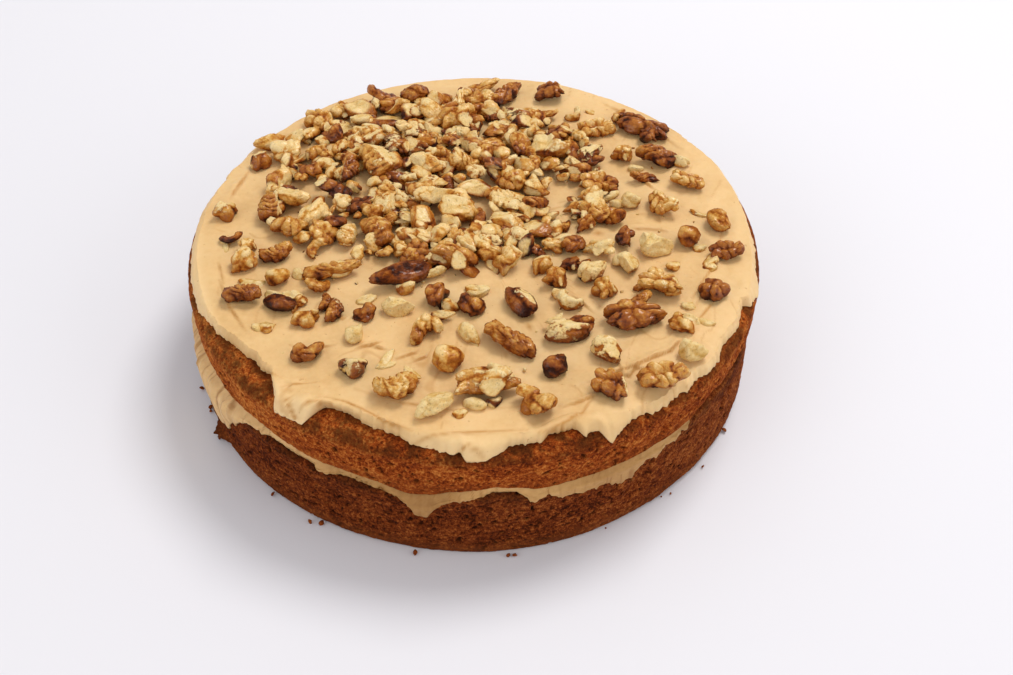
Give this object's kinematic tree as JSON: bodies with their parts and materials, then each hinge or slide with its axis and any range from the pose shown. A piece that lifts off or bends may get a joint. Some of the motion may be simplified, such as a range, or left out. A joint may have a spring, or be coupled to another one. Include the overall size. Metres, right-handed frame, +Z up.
{
  "type": "walnut torte",
  "caption": "Round layered walnut sponge cake with a buttercream filling, a spread buttercream top and a heap of walnut pieces, resting flat on its base.",
  "frame": {"origin": "on the resting plane, under the middle of the cake", "axes": "+Z up, -Y towards the front of the cake as it is usually looked at, +X to the right"},
  "size_m": [0.2372, 0.235, 0.0734],
  "materials": {
    "lower_sponge": "baked crumb, dark red-brown, matt and porous",
    "upper_sponge": "baked crumb, orange-brown, matt and porous",
    "filling": "soft buttercream, smeared, satin",
    "icing": "soft coffee buttercream, palette-knife smooth, satin",
    "walnut": "walnut kernel, ridged brown skin and pale broken faces"
  },
  "bodies": {
    "root": {"filling": "filling", "icing": "icing", "sponge_bottom": "lower_sponge", "sponge_top": "upper_sponge", "walnut_01": "walnut", "walnut_02": "walnut", "walnut_03": "walnut", "walnut_04": "walnut", "walnut_05": "walnut", "walnut_06": "walnut", "walnut_07": "walnut", "walnut_08": "walnut", "walnut_09": "walnut", "walnut_10": "walnut", "walnut_11": "walnut", "walnut_12": "walnut", "walnut_13": "walnut", "walnut_14": "walnut", "walnut_15": "walnut", "walnut_16": "walnut", "walnut_17": "walnut", "walnut_18": "walnut", "walnut_19": "walnut", "walnut_20": "walnut", "walnut_21": "walnut", "walnut_22": "walnut", "walnut_23": "walnut", "walnut_24": "walnut", "walnut_25": "walnut", "walnut_26": "walnut", "walnut_27": "walnut", "walnut_28": "walnut", "walnut_29": "walnut", "walnut_30": "walnut", "walnut_31": "walnut", "walnut_32": "walnut", "walnut_33": "walnut", "walnut_34": "walnut", "walnut_35": "walnut", "walnut_36": "walnut", "walnut_37": "walnut", "walnut_38": "walnut", "walnut_39": "walnut", "walnut_40": "walnut", "walnut_41": "walnut", "walnut_42": "walnut", "walnut_43": "walnut", "walnut_44": "walnut", "walnut_45": "walnut", "walnut_46": "walnut", "walnut_47": "walnut", "walnut_48": "walnut", "walnut_49": "walnut", "walnut_50": "walnut", "walnut_51": "walnut", "walnut_52": "walnut", "walnut_53": "walnut", "walnut_54": "walnut", "walnut_55": "walnut", "walnut_heap": "walnut"}
  },
  "joints": []
}
